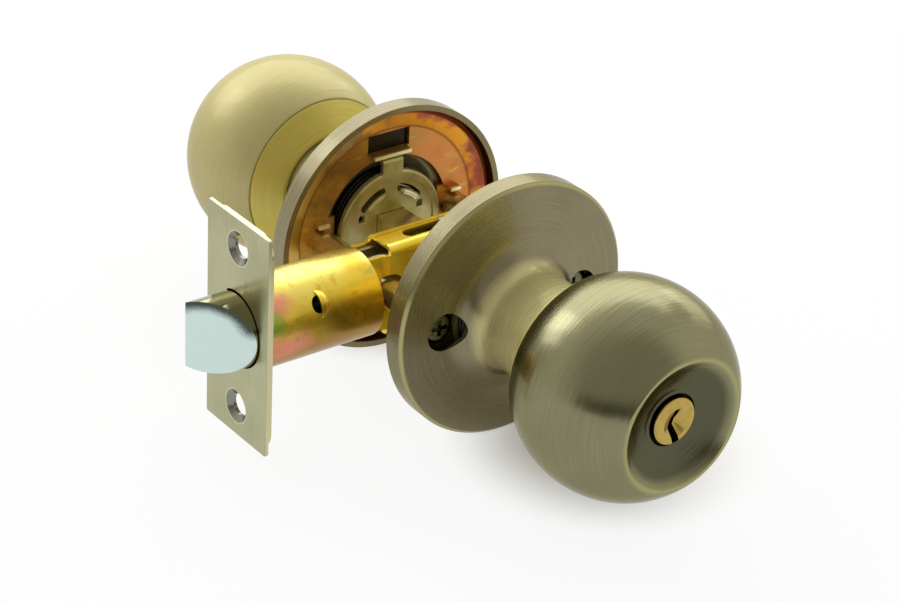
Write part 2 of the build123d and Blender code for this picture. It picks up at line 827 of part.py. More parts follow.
# Latch case: a folded sheet box with a sunk strip and a slot for the arm at the top and bottom, and
# side walls that step in to a neck and run into the tube as tongues
wall_front = -tube_end + room
case_in_w = case_half_w - sheet
neck_in_w = case_neck_half_w - sheet
tongue_half = sqrt((tube_bore_r - 2 * fit) ** 2 - case_neck_half_w**2)
with BuildPart() as latch_case:
    with BuildSketch(Plane.YZ.offset(-case_front)):
        RectangleRounded(2 * case_half_w, 2 * case_half_h, case_bend)
        RectangleRounded(2 * case_in_w, 2 * (case_half_h - sheet), case_bend - sheet, mode=Mode.SUBTRACT)
    extrude(amount=case_front + case_rear)
    for side in (-1, 1):
        with BuildSketch(Plane.XY):
            with BuildLine():
                Polyline(
                    (-case_front, side * case_half_w),
                    (-case_front - case_joggle, side * case_neck_half_w),
                    (wall_front, side * case_neck_half_w),
                    (wall_front, side * neck_in_w),
                    (-case_front - case_joggle, side * neck_in_w),
                    (-case_front, side * case_in_w),
                    close=True,
                )
            make_face()
        extrude(amount=case_half_h - case_bend, both=True)
        with BuildSketch(Plane.XZ.offset(side * case_neck_half_w)):
            with Locations((wall_front - tongue_length / 2, 0)):
                Rectangle(tongue_length, 2 * tongue_half)
        extrude(amount=-side * sheet)
        with BuildSketch(Plane.XY.offset(side * case_half_h)):
            with Locations((-case_front, 0)):
                strip_align = (Align.MIN, Align.CENTER)
                Rectangle(case_front + case_rear, 2 * strip_half, align=strip_align)
        extrude(amount=-side * strip_depth, mode=Mode.SUBTRACT)
    with BuildSketch(Plane.XY.offset(-case_half_h)):
        SlotOverall(2 * case_slot_half, case_slot_w)
    extrude(amount=2 * case_half_h, mode=Mode.SUBTRACT)
    with BuildSketch(Plane.XZ.offset(-case_half_w)):
        Circle(hub_r + fit)
        with Locations((-post_x, 0)):
            Circle(case_post_r)
    extrude(amount=2 * case_half_w, mode=Mode.SUBTRACT)

pieces = {
    "inside_rose": inside_rose,
    "outside_rose": outside_rose,
    "inside_bush": inside_bush,
    "outside_bush": outside_bush,
    "inside_knob": inside_knob,
    "outside_knob": outside_knob,
    "inside_knob_cap": inside_knob_cap,
    "outside_knob_cap": outside_knob_cap,
    "inside_knob_support": inside_knob_support,
    "outside_knob_support": outside_knob_support,
    "inside_sleeve": inside_sleeve,
    "outside_sleeve": outside_sleeve,
    "inside_drive_disc": inside_drive_disc,
    "outside_drive_disc": outside_drive_disc,
    "inside_return_spring": inside_return_spring,
    "outside_return_spring": outside_return_spring,
    "inside_plate": inside_plate,
    "outside_plate": outside_plate,
    "mounting_posts": mounting_posts,
    "mounting_screws": mounting_screws,
    "spindle": spindle,
    "cylinder_housing": cylinder_housing,
    "key_plug": key_plug,
    "plug_clip": plug_clip,
    "key_pins": key_pins,
    "driver_pins": driver_pins,
    "tailpiece": tailpiece,
    "button_guide": button_guide,
    "turn_button": turn_button,
    "lock_bar": lock_bar,
    "faceplate": faceplate,
    "backing_plate": backing_plate,
    "latch_tube": latch_tube,
    "spring_seat": spring_seat,
    "latch_bolt": latch_bolt,
    "bolt_tail": bolt_tail,
    "bolt_spring": bolt_spring,
    "retractor": retractor,
    "latch_hub": latch_hub,
    "latch_case": latch_case,
}
for name, piece in pieces.items():
    piece.part.label = name
    export_step(piece.part, f"parts/{name}.step")
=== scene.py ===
import bmesh
import bpy
import math
from mathutils import Matrix, Vector


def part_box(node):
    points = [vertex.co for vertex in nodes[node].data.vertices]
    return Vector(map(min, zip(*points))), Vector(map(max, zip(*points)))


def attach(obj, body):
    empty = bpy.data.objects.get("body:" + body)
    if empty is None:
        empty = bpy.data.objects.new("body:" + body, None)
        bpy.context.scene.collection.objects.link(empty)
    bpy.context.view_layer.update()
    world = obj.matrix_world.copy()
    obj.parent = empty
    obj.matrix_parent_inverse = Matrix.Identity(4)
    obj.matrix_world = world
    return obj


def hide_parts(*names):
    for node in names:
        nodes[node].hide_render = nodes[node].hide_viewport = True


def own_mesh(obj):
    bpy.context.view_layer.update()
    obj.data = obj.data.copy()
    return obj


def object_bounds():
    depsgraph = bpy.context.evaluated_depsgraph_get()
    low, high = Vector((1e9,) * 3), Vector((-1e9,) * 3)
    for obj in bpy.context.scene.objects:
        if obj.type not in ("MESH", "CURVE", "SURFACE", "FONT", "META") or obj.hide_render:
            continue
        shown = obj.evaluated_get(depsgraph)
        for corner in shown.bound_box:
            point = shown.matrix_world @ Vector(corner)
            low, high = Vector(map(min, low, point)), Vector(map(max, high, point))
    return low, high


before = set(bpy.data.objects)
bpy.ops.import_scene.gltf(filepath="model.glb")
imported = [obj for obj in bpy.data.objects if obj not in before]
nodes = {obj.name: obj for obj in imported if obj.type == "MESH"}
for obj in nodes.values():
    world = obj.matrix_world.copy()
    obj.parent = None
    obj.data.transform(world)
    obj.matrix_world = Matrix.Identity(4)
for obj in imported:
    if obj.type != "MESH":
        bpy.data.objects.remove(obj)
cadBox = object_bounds()
print("frame loaded:", len(nodes), "nodes")


def linear(value):
    value = value / 255
    return value / 12.92 if value <= 0.04045 else ((value + 0.055) / 1.055) ** 2.4


def tint(red, green, blue):  # screen colour, 0 to 255, as Blender's linear colour
    return (linear(red), linear(green), linear(blue), 1.0)


class Link:  # a shader socket that takes part in Python maths
    def __init__(self, graph, socket):
        self.graph = graph
        self.socket = socket

    def math(self, operation, *values):
        return self.graph.node("ShaderNodeMath", {"operation": operation}, values)

    def __add__(self, other):
        return self.math("ADD", self, other)

    def __radd__(self, other):
        return self.math("ADD", other, self)

    def __sub__(self, other):
        return self.math("SUBTRACT", self, other)

    def __rsub__(self, other):
        return self.math("SUBTRACT", other, self)

    def __mul__(self, other):
        return self.math("MULTIPLY", self, other)

    def __rmul__(self, other):
        return self.math("MULTIPLY", other, self)

    def __truediv__(self, other):
        return self.math("DIVIDE", self, other)

    def __pow__(self, other):
        return self.math("POWER", self, other)

    def __abs__(self):
        return self.math("ABSOLUTE", self)


class Graph:  # a node tree with one method that makes any node
    def __init__(self, tree):
        self.tree = tree
        tree.nodes.clear()

    def node(self, kind, settings=None, inputs=None, output=0):
        made = self.tree.nodes.new(kind)
        for name, value in (settings or {}).items():
            if name == "stops":
                self.fillRamp(made.color_ramp, value)
            else:
                setattr(made, name, value)
        pairs = inputs.items() if isinstance(inputs, dict) else enumerate(inputs or ())
        for key, value in pairs:
            if isinstance(value, Link):
                self.tree.links.new(value.socket, made.inputs[key])
            else:
                made.inputs[key].default_value = value
        return Link(self, made.outputs[output]) if len(made.outputs) else None

    def fillRamp(self, ramp, stops):
        while len(ramp.elements) < len(stops):
            ramp.elements.new(0.5)
        for element, (place, colour) in zip(ramp.elements, stops):
            element.position = place
            element.color = colour

    def place(self):
        return self.node("ShaderNodeTexCoord", output="Object")

    def split(self, vector):
        return [self.node("ShaderNodeSeparateXYZ", inputs=[vector], output=axis) for axis in range(3)]

    def join(self, x, y, z):
        return self.node("ShaderNodeCombineXYZ", inputs=[x, y, z])

    def noise(self, vector, scale=1.0, detail=2.0, rough=0.5):
        values = {"Vector": vector, "Scale": scale, "Detail": detail, "Roughness": rough}
        return self.node("ShaderNodeTexNoise", inputs=values)

    def ramp(self, value, stops):
        return self.node("ShaderNodeValToRGB", {"stops": stops}, [value])

    def smooth(self, value, low, high, start=0.0, end=1.0):
        settings = {"interpolation_type": "SMOOTHSTEP"}
        return self.node("ShaderNodeMapRange", settings, [value, low, high, start, end])

    def blend(self, share, first, second, how="MIX"):
        settings = {"data_type": "RGBA", "blend_type": how}
        return self.node("ShaderNodeMix", settings, {0: share, 6: first, 7: second}, output=2)

    def vector(self, operation, *values):
        return self.node("ShaderNodeVectorMath", {"operation": operation}, values)

    def scaled(self, vector, amount):
        settings = {"operation": "SCALE"}
        return self.node("ShaderNodeVectorMath", settings, {"Vector": vector, "Scale": amount})

    def bump(self, height, strength, depth):
        return self.node("ShaderNodeBump", inputs={"Height": height, "Strength": strength, "Distance": depth})

    def surface(self, **sockets):
        values = {name.replace("_", " "): value for name, value in sockets.items()}
        shader = self.node("ShaderNodeBsdfPrincipled", inputs=values)
        self.node("ShaderNodeOutputMaterial", inputs=[shader])


def newMaterial(name):
    material = bpy.data.materials.new(name)
    material.use_nodes = True
    return material, Graph(material.node_tree)


def dress(material, *names):  # gives CAD nodes their finish
    for name in names:
        slots = nodes[name].data.materials
        slots.clear()
        slots.append(material)


# Antique brass of the knobs and roses: brushed round Y under lacquer, yellow at the edges, partly from wear
# and partly as painted highlight lines
brass = {
    "wearAndHighlight": tint(178, 172, 112),
    "grooveSize": 0.00003,
    "lineSize": 0.00015,
    "lineTurn": 1.3,
    "lineShare": 0.6,
    "lineRoughness": 0.08,
    "cloudScale": 55.0,
    "toneRange": (0.34, 0.66),
    "wearAndHighlightWidth": 0.0011,
    "coat": 0.25,
    "coatRoughness": 0.07,
    "rimTint": (0.6, 0.57, 0.45, 1.0),
}
darkFinish = {
    "dark": tint(122, 120, 91),
    "light": tint(136, 133, 101),
    "roughness": 0.2,
    "groove": 0.7,
    "metallic": 1.0,
    "dish": tint(70, 70, 52),
}
roseFinish = {
    "dark": tint(124, 117, 90),
    "light": tint(138, 131, 101),
    "roughness": 0.27,
    "groove": 0.5,
    "metallic": 0.8,
}
# The inside rose: the rose brass in lighter tones, painted light
innerRoseLitFinish = {**roseFinish, "dark": tint(132, 124, 95), "light": tint(146, 138, 106), "metallic": 0.5}
# The inside knob's brass: the outside knob's metal in lighter tones, painted light for the brighter far knob
paleLitFinish = {
    "dark": tint(174, 164, 110),
    "light": tint(187, 177, 124),
    "roughness": 0.5,
    "groove": 0.5,
    "metallic": 0.5,
    "dish": tint(132, 126, 88),
}
goldFinish = {**paleLitFinish, "dark": tint(196, 180, 84), "light": tint(212, 197, 106), "metallic": 0.8}


def brushedNormal(graph, spot, noiseValue, amount):  # tilts the surface across lines that run round Y
    x, _, z = graph.split(spot)
    turning = {"convert_from": "OBJECT", "convert_to": "WORLD"}
    around = graph.node("ShaderNodeVectorTransform", turning, [graph.join(z, 0.0, x * -1.0)])
    facing = graph.node("ShaderNodeNewGeometry", output="Normal")
    across = graph.vector("NORMALIZE", graph.vector("CROSS_PRODUCT", facing, around))
    tilted = graph.vector("ADD", facing, graph.scaled(across, (noiseValue - 0.5) * amount))
    return graph.vector("NORMALIZE", tilted)


def turnedBrass(name, finish, across, edges, shade=None):
    material, graph = newMaterial(name)
    spot = graph.place()
    x, y, z = graph.split(spot)
    radius = (x * x + z * z) ** 0.5
    along = abs(y)
    step = across(radius, along)
    turnX = x / radius * brass["lineTurn"]
    turnZ = z / radius * brass["lineTurn"]
    groove = graph.noise(graph.join(step / brass["grooveSize"], turnX, turnZ), detail=1.0)
    line = graph.noise(graph.join(step / brass["lineSize"], turnX, turnZ))
    cloud = graph.noise(spot, brass["cloudScale"])
    mixed = line * brass["lineShare"] + cloud * (1.0 - brass["lineShare"])
    colour = graph.blend(graph.smooth(mixed, *brass["toneRange"]), finish["dark"], finish["light"])
    # Yellow edges: partly wear, partly painted highlight lines
    for edgeRadius, edgeAlong, width, strength in edges:
        away = ((radius - edgeRadius) ** 2.0 + (along - edgeAlong) ** 2.0) ** 0.5
        near = graph.smooth(away, brass["wearAndHighlightWidth"] * width, 0.0)
        colour = graph.blend(near * strength, colour, brass["wearAndHighlight"])
    coat = brass["coat"]
    metallic = finish["metallic"]
    layers = shade(graph, finish, radius, along) if shade else []
    for mask, inner, lacquer, bare in layers:
        colour = graph.blend(mask, colour, inner)
        coat = coat * (1.0 - mask * (1.0 - lacquer))
        metallic = metallic * (1.0 - mask * (1.0 - bare))
    graph.surface(
        Base_Color=colour,
        Metallic=metallic,
        Roughness=finish["roughness"] + (line - 0.5) * brass["lineRoughness"],
        Normal=brushedNormal(graph, spot, groove, finish["groove"]),
        Specular_Tint=brass["rimTint"],
        Coat_Weight=coat,
        Coat_Roughness=brass["coatRoughness"],
    )
    return material


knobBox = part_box("outside_knob")
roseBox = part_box("outside_rose")
doorFace = -roseBox[1].y
knob = {
    "radius": knobBox[1].x,
    "centre": doorFace + 0.0469,
    "rimRadius": 0.0163,
    "rimAlong": -knobBox[0].y,
    "lipAlong": -knobBox[1].y,
    "lipRadius": 0.0218,
    "frontEdge": 0.012,
    "frontFull": 0.009,
    "bowlRange": (0.0157, 0.013),
    "bowlShare": 0.85,
}
rose = {
    "radius": roseBox[1].x,
    "face": 0.0055,
    "faceBack": doorFace + 0.0045,
    "underEdge": 0.0006,
    "underFull": 0.0002,
    "insideEdge": 0.00135,
    "insideFull": 0.0015,
    "boreRange": (0.0123, 0.0118),
    "neckRange": (0.0154, 0.0129),
    "rimEdge": 0.0004,
    "rimFull": 0.0001,
    "rimShare": 0.85,
    "wearAndHighlightInset": 0.0004,
    # The neck tone is painted light, lighter than the rest of the rose
    "neckPaintedLight": tint(206, 198, 142),
    # Painted shade: near black inside the rose and in its bore
    "underPaintedShade": tint(30, 26, 16),
    "borePaintedShade": tint(30, 27, 18),
    "rimTone": tint(134, 121, 82),
}


def ballAcross(radius, along):  # latitude on the ball
    return radius.math("ARCTAN2", radius, along - knob["centre"]) * knob["radius"]


def roseAcross(radius, along):  # down the neck, over the flat and down the rim
    return radius - along


def capAcross(radius, along):  # out over the cap and along its side
    return radius + along


# Shades are layers of mask, colour, share of the lacquer that stays and share of the metal that stays
def dishShade(graph, finish, radius, along):
    front = graph.smooth(along, knob["rimAlong"] - knob["frontEdge"], knob["rimAlong"] - knob["frontFull"])
    bowl = graph.smooth(radius, *knob["bowlRange"])
    return [(front * bowl * knob["bowlShare"], finish["dish"], 0.5, 1.0)]


def roseShade(graph, finish, radius, along):
    under = graph.smooth(along, rose["faceBack"] + rose["underEdge"], rose["faceBack"] + rose["underFull"])
    inside = graph.smooth(radius, rose["radius"] - rose["insideEdge"], rose["radius"] - rose["insideFull"])
    bore = graph.smooth(radius, *rose["boreRange"])
    rimFace = graph.smooth(along, doorFace + rose["rimEdge"], doorFace + rose["rimFull"])
    neck = graph.smooth(radius, *rose["neckRange"])
    return [
        # Neck: lighter and less metallic, painted light
        (neck, rose["neckPaintedLight"], 1.0, 0.5),
        # Inside the rose and in the bore: near black, painted shade
        (under * inside, rose["underPaintedShade"], 0.0, 1.0),
        (bore, rose["borePaintedShade"], 0.0, 1.0),
        (rimFace * rose["rimShare"], rose["rimTone"], 0.5, 1.0),
    ]


# Edges yellowed partly by wear and partly by painted highlight: radius, place along Y, width and strength
ballEdges = [
    (knob["rimRadius"], knob["rimAlong"], 1.1, 0.5),
    (knob["lipRadius"], knob["lipAlong"], 0.8, 0.7),
]
roseFront = doorFace + rose["face"] - rose["wearAndHighlightInset"]
roseEdges = [(rose["radius"] - rose["wearAndHighlightInset"], roseFront, 0.8, 0.8)]
dress(turnedBrass("ballBrass", darkFinish, ballAcross, ballEdges, dishShade), "outside_knob")
# Paler tones on the inside knob and its button are painted light
dress(turnedBrass("paleLitBrass", paleLitFinish, ballAcross, ballEdges, dishShade), "inside_knob")
dress(turnedBrass("buttonBrass", paleLitFinish, capAcross, []), "turn_button")
dress(turnedBrass("roseBrass", roseFinish, roseAcross, roseEdges, roseShade), "outside_rose")
dress(turnedBrass("innerRoseLitBrass", innerRoseLitFinish, roseAcross, roseEdges, roseShade), "inside_rose")
dress(turnedBrass("capBrass", goldFinish, capAcross, []), "outside_knob_cap", "inside_knob_cap")
print("antique brass done")

# Satin brass of the latch's faceplate: brushed upright, steel grey in the countersinks, with a painted pale
# highlight on its edges
plate = {
    "dark": tint(160, 160, 124),
    "light": tint(178, 177, 140),
    # Pale edge colour: painted highlight, also used for the burr rings round the countersinks
    "edge": tint(210, 200, 160),
    "sink": tint(132, 134, 124),
    "screwHeight": 0.021,
    "sinkRadius": 0.0043,
    "sinkSoft": 0.0002,
    "burrWidth": 0.0004,
    "burrShare": 0.7,
    "edgeHighlightShare": 0.8,
    "edgeStart": 0.0002,
    "edgeEnd": 0.00005,
    "lineAcross": 9000.0,
    "lineUp": 60.0,
    "cloudScale": 60.0,
    "toneRange": (0.35, 0.65),
    "tilt": 0.35,
    "roughness": 0.24,
    "cloudRoughness": 0.1,
}


def satinPlate():
    material, graph = newMaterial("satinPlate")
    spot = graph.place()
    x, y, z = graph.split(spot)
    line = graph.noise(graph.join(0.0, y * plate["lineAcross"], z * plate["lineUp"]), 1.0, 3.0, 0.6)
    cloud = graph.noise(spot, plate["cloudScale"])
    tone = graph.smooth(line * 0.5 + cloud * 0.5, *plate["toneRange"])
    colour = graph.blend(tone, plate["dark"], plate["light"])
    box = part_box("faceplate")
    # Every face but the front takes the pale edge colour: a painted highlight on the plate's edges
    front = graph.smooth(x, box[0].x + plate["edgeStart"], box[0].x + plate["edgeEnd"])
    colour = graph.blend((1.0 - front) * plate["edgeHighlightShare"], colour, plate["edge"])
    hole = (y * y + (abs(z) - plate["screwHeight"]) ** 2.0) ** 0.5
    burr = graph.smooth(abs(hole - plate["sinkRadius"]), plate["burrWidth"], 0.0)
    colour = graph.blend(burr * plate["burrShare"], colour, plate["edge"])
    sink = graph.smooth(hole, plate["sinkRadius"], plate["sinkRadius"] - plate["sinkSoft"])
    colour = graph.blend(sink, colour, plate["sink"])
    facing = graph.node("ShaderNodeNewGeometry", output="Normal")
    turning = {"convert_from": "OBJECT", "convert_to": "WORLD"}
    sideways = graph.node("ShaderNodeVectorTransform", turning, [(0.0, 1.0, 0.0)])
    tilt = (line - 0.5) * (plate["tilt"] * front)
    normal = graph.vector("NORMALIZE", graph.vector("ADD", facing, graph.scaled(sideways, tilt)))
    roughness = plate["roughness"] + (cloud - 0.5) * plate["cloudRoughness"]
    graph.surface(Base_Color=colour, Metallic=1.0, Roughness=roughness, Normal=normal)
    return material


dress(satinPlate(), "faceplate", "backing_plate")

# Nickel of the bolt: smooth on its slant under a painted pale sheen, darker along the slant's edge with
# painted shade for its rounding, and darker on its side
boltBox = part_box("latch_bolt")
bolt = {
    "radius": boltBox[1].z,
    # Painted light and shade: a pale sheen on the slant and a dark band along its edge
    "slant": tint(222, 246, 244),
    "edge": tint(62, 70, 60),
    "side": tint(158, 154, 126),
    "speck": tint(150, 182, 178),
    "cloudScale": 260.0,
    "grainScale": 1500.0,
    "slantRange": (-0.3, -0.6),
    "ragged": 0.0012,
    "edgeRange": (0.0034, 0.0006),
    "edgeHeight": (0.0005, 0.004),
    "speckRange": (0.66, 0.76),
    "speckShare": 0.6,
    "slantMatt": 0.65,
    "roughness": 0.14,
    "slantRoughness": 0.2,
    "cloudRoughness": 0.05,
    "bump": (0.05, 0.0001),
}


def nickel():
    material, graph = newMaterial("nickelPlate")
    spot = graph.place()
    _, y, z = graph.split(spot)
    facing = graph.node("ShaderNodeNewGeometry", output="True Normal")
    turning = {"vector_type": "NORMAL", "convert_from": "WORLD", "convert_to": "OBJECT"}
    ahead = graph.split(graph.node("ShaderNodeVectorTransform", turning, [facing]))[0]
    slant = graph.smooth(ahead, *bolt["slantRange"])
    cloud = graph.noise(spot, bolt["cloudScale"], 3.0)
    grain = graph.noise(spot, bolt["grainScale"], rough=0.6)
    inward = bolt["radius"] - (y * y + z * z) ** 0.5
    inward = inward + (cloud - 0.5) * bolt["ragged"] + (grain - 0.5) * bolt["ragged"]
    # Dark band along the slant's upper edge: painted shade
    edgeShade = graph.smooth(inward, *bolt["edgeRange"]) * graph.smooth(z, *bolt["edgeHeight"])
    speck = graph.smooth(grain, *bolt["speckRange"]) * bolt["speckShare"]
    face = graph.blend(speck, bolt["slant"], bolt["speck"])
    face = graph.blend(edgeShade, face, bolt["edge"])
    colour = graph.blend(slant, bolt["side"], face)
    graph.surface(
        Base_Color=colour,
        Metallic=1.0 - slant * bolt["slantMatt"],
        Roughness=bolt["roughness"] + slant * bolt["slantRoughness"] + (cloud - 0.5) * bolt["cloudRoughness"],
        Normal=graph.bump(cloud, *bolt["bump"]),
    )
    return material


dress(nickel(), "latch_bolt")
print("faceplate and bolt done")

# Yellow passivated zinc, whose film turns pink, green and orange in patches; its pale and brown tones are a
# painted highlight and painted shade on the tube
film = {
    "yellow": tint(236, 206, 72),
    "tan": tint(210, 170, 62),
    "pale": tint(240, 224, 118),
    "orange": tint(224, 162, 58),
    "pink": tint(232, 140, 126),
    "green": tint(150, 178, 76),
    "olive": tint(150, 128, 40),
    "brownShade": tint(150, 106, 52),
}
zinc = {"metallic": 0.85, "grainScale": 1400.0, "grainRoughness": 0.1, "bump": (0.025, 0.00004)}


def finishZinc(graph, spot, colour, roughness, metallic=zinc["metallic"]):
    grain = graph.noise(spot, zinc["grainScale"], rough=0.6)
    graph.surface(
        Base_Color=colour,
        Metallic=metallic,
        Roughness=roughness + (grain - 0.5) * zinc["grainRoughness"],
        Normal=graph.bump(grain, *zinc["bump"]),
    )


# Tube: each patch has its place along the tube in mm, its angle up from the outside in degrees,
# its reach along and around, its colour and its strength
tube = {
    "wobbleScale": 110.0,
    "turnWobble": 36.0,
    "alongWobble": 8.0,
    "turnRange": (270.0, -90.0),
    "cloudScale": 70.0,
    "cloudRange": (0.35, 0.65),
    "patchFade": 2.2,
    "mottleScale": 420.0,
    "mottleRange": (0.52, 0.72),
    "mottleShare": 0.35,
    "roughness": 0.29,
    "metallic": 0.95,
}
tubePatches = [
    # The first two patches are painted light: a pale highlight along the top and shade low on the front
    (-42.0, 92.0, 26.0, 42.0, "pale", 0.9),
    (-42.0, -34.0, 26.0, 40.0, "brownShade", 0.9),
    (-55.5, 50.0, 5.0, 18.0, "pink", 0.85),
    (-57.0, 24.0, 4.0, 16.0, "green", 0.95),
    (-38.0, 2.0, 9.0, 20.0, "olive", 0.6),
    (-54.0, -8.0, 7.0, 18.0, "pink", 0.6),
    (-30.5, 66.0, 3.0, 18.0, "orange", 0.8),
    (-30.5, 34.0, 6.0, 30.0, "yellow", 0.8),
    (-36.0, 46.0, 9.0, 9.0, "yellow", 0.7),
    (-50.0, 180.0, 9.0, 40.0, "pink", 0.6),
    (-36.0, 215.0, 9.0, 34.0, "green", 0.5),
    (-44.0, 262.0, 12.0, 22.0, "orange", 0.5),
]


def tubeZinc():
    material, graph = newMaterial("tubeZinc")
    spot = graph.place()
    x, y, z = graph.split(spot)
    wobble = graph.noise(spot, tube["wobbleScale"]) - 0.5
    up = z.math("ARCTAN2", z, y * -1.0) * math.degrees(1.0)
    turn = up.math("WRAP", up + wobble * tube["turnWobble"], *tube["turnRange"])
    along = x * 1000.0 + wobble * tube["alongWobble"]
    cloud = graph.smooth(graph.noise(spot, tube["cloudScale"]), *tube["cloudRange"])
    colour = graph.blend(cloud, film["tan"], film["yellow"])
    for place, angle, reach, spread, hue, strength in tubePatches:
        away = ((along - place) / reach) ** 2.0 + ((turn - angle) / spread) ** 2.0
        colour = graph.blend(graph.smooth(away, tube["patchFade"], 0.0) * strength, colour, film[hue])
    mottle = graph.smooth(graph.noise(spot, tube["mottleScale"], 3.0, 0.6), *tube["mottleRange"])
    colour = graph.blend(mottle * tube["mottleShare"], colour, film["olive"])
    finishZinc(graph, spot, colour, tube["roughness"], tube["metallic"])
    return material


# Plates: a flat inside a raised bead, gold on the latch side through orange to pink on the other, with a
# darker band of painted shade on the upper left
bead = {
    "flat": 0.0259,
    "flatRange": (0.0258, 0.0261),
    "crestRange": (0.0296, 0.03),
    "creaseRange": (0.0005, 0.00015),
    "tabRange": (doorFace + 0.0022, doorFace + 0.0014),
    "creaseTone": tint(132, 70, 26),
    "outerTone": tint(238, 126, 62),
    # The tab colour is a painted highlight
    "tabHighlight": tint(250, 242, 190),
    "creaseShare": 0.6,
    "outerShare": 0.9,
    "acrossX": 14.0,
    "acrossZ": 5.0,
    "wobbleScale": 120.0,
    "flatWobble": 0.6,
    "beadWobble": 0.3,
    "streakX": 90.0,
    "streakZ": 340.0,
    "streakShare": 0.5,
    "redRange": (0.54, 0.74),
    "redTone": tint(216, 102, 74),
    "yellowRange": (0.44, 0.3),
    "roughness": 0.3,
    "metallic": 0.65,
}
# The dark stop at 0.4 is painted shade
flatStops = [
    (0.0, tint(196, 152, 70)),
    (0.22, tint(206, 160, 76)),
    (0.4, tint(142, 112, 58)),
    (0.6, tint(180, 136, 60)),
    (0.8, tint(210, 138, 68)),
    (1.0, tint(188, 116, 40)),
]
# The dark stop at 0.44 is painted shade
beadStops = [
    (0.0, tint(208, 172, 68)),
    (0.28, tint(200, 160, 64)),
    (0.44, tint(150, 120, 58)),
    (0.6, tint(240, 170, 44)),
    (0.78, tint(246, 172, 40)),
    (0.9, tint(188, 88, 70)),
    (1.0, tint(136, 90, 46)),
]


def plateZinc():
    material, graph = newMaterial("plateZinc")
    spot = graph.place()
    x, y, z = graph.split(spot)
    wobble = graph.noise(spot, bead["wobbleScale"], 3.0, 0.6) - 0.5
    radius = (x * x + z * z) ** 0.5
    across = x * bead["acrossX"] + z * bead["acrossZ"] + wobble * bead["flatWobble"] + 0.5
    colour = graph.ramp(across, flatStops)
    streak = graph.noise(graph.join(x * bead["streakX"], 0.0, z * bead["streakZ"]), 1.0, 3.0, 0.6)
    red = graph.smooth(streak, *bead["redRange"]) * bead["streakShare"]
    colour = graph.blend(red, colour, bead["redTone"])
    yellow = graph.smooth(streak, *bead["yellowRange"]) * bead["streakShare"]
    colour = graph.blend(yellow, colour, film["yellow"])
    raised = graph.smooth(radius, *bead["flatRange"])
    colour = graph.blend(raised, colour, graph.ramp(across + wobble * bead["beadWobble"], beadStops))
    crease = graph.smooth(abs(radius - bead["flat"]), *bead["creaseRange"]) * bead["creaseShare"]
    colour = graph.blend(crease, colour, bead["creaseTone"])
    outer = graph.smooth(radius, *bead["crestRange"]) * bead["outerShare"]
    colour = graph.blend(outer, colour, bead["outerTone"])
    # The raised tab is painted near white: a painted highlight
    raisedTabHighlight = graph.smooth(abs(y), *bead["tabRange"]) * (1.0 - raised)
    colour = graph.blend(raisedTabHighlight, colour, bead["tabHighlight"])
    finishZinc(graph, spot, colour, bead["roughness"], bead["metallic"])
    return material


def patchyZinc(name, stops, patch, roughness, metallic=zinc["metallic"]):
    material, graph = newMaterial(name)
    spot = graph.place()
    colour = graph.ramp(graph.noise(spot, patch, 3.0, 0.55), stops)
    finishZinc(graph, spot, colour, roughness, metallic)
    return material


postStops = [(0.3, tint(190, 164, 92)), (0.5, tint(212, 186, 122)), (0.7, tint(222, 202, 148))]
goldStops = [(0.3, tint(230, 194, 40)), (0.5, tint(242, 214, 62)), (0.7, tint(250, 232, 104))]
creamStops = [(0.3, tint(142, 136, 68)), (0.5, tint(178, 170, 108)), (0.7, tint(204, 197, 150))]
oliveStops = [(0.3, tint(126, 108, 46)), (0.5, tint(156, 136, 62)), (0.7, tint(184, 162, 88))]
dress(tubeZinc(), "latch_tube")
dress(patchyZinc("postZinc", postStops, 90.0, 0.26), "mounting_posts", "spindle")
dress(plateZinc(), "inside_plate")
dress(patchyZinc("oliveZinc", oliveStops, 80.0, 0.3), "outside_plate")
dress(patchyZinc("goldZinc", goldStops, 80.0, 0.22, 0.55), "latch_case")
dress(patchyZinc("creamZinc", creamStops, 110.0, 0.32, 0.6), "inside_drive_disc", "outside_drive_disc")
print("zinc done")

# Plain metals and the black bushes
plain = {"lowStop": 0.3, "highStop": 0.7, "grainRoughness": 0.12, "bump": (0.06, 0.00005)}


def plainMetal(name, low, high, scale, roughness, metallic=1.0):
    material, graph = newMaterial(name)
    grain = graph.noise(graph.place(), scale, 3.0, 0.6)
    graph.surface(
        Base_Color=graph.ramp(grain, [(plain["lowStop"], low), (plain["highStop"], high)]),
        Metallic=metallic,
        Roughness=roughness + (grain - 0.5) * plain["grainRoughness"],
        Normal=graph.bump(grain, *plain["bump"]),
    )
    return material


plugBrass = plainMetal("plugBrass", tint(168, 143, 72), tint(188, 163, 88), 420.0, 0.2)
dress(plugBrass, "key_plug", "key_pins", "driver_pins")
darkBrass = plainMetal("darkBrass", tint(26, 23, 16), tint(40, 36, 24), 420.0, 0.5)
dress(darkBrass, "cylinder_housing", "button_guide")
steel = plainMetal("plainSteel", tint(150, 146, 136), tint(190, 186, 176), 400.0, 0.35)
dress(steel, "inside_knob_support", "outside_knob_support", "tailpiece", "lock_bar", "spring_seat")
dress(steel, "bolt_tail", "retractor", "latch_hub", "plug_clip")
paleSteel = plainMetal("paleSteel", tint(190, 186, 140), tint(224, 220, 186), 300.0, 0.3)
dress(paleSteel, "inside_sleeve", "outside_sleeve")
springSteel = plainMetal("springSteel", tint(34, 33, 30), tint(60, 58, 52), 700.0, 0.35)
dress(springSteel, "inside_return_spring", "outside_return_spring", "bolt_spring")
screwSteel = plainMetal("screwSteel", tint(84, 84, 62), tint(118, 116, 88), 600.0, 0.28)
dress(screwSteel, "mounting_screws")
nylon = plainMetal("blackNylon", tint(12, 12, 12), tint(24, 23, 22), 800.0, 0.5, 0.0)
dress(nylon, "inside_bush", "outside_bush")
print("plain metals done")

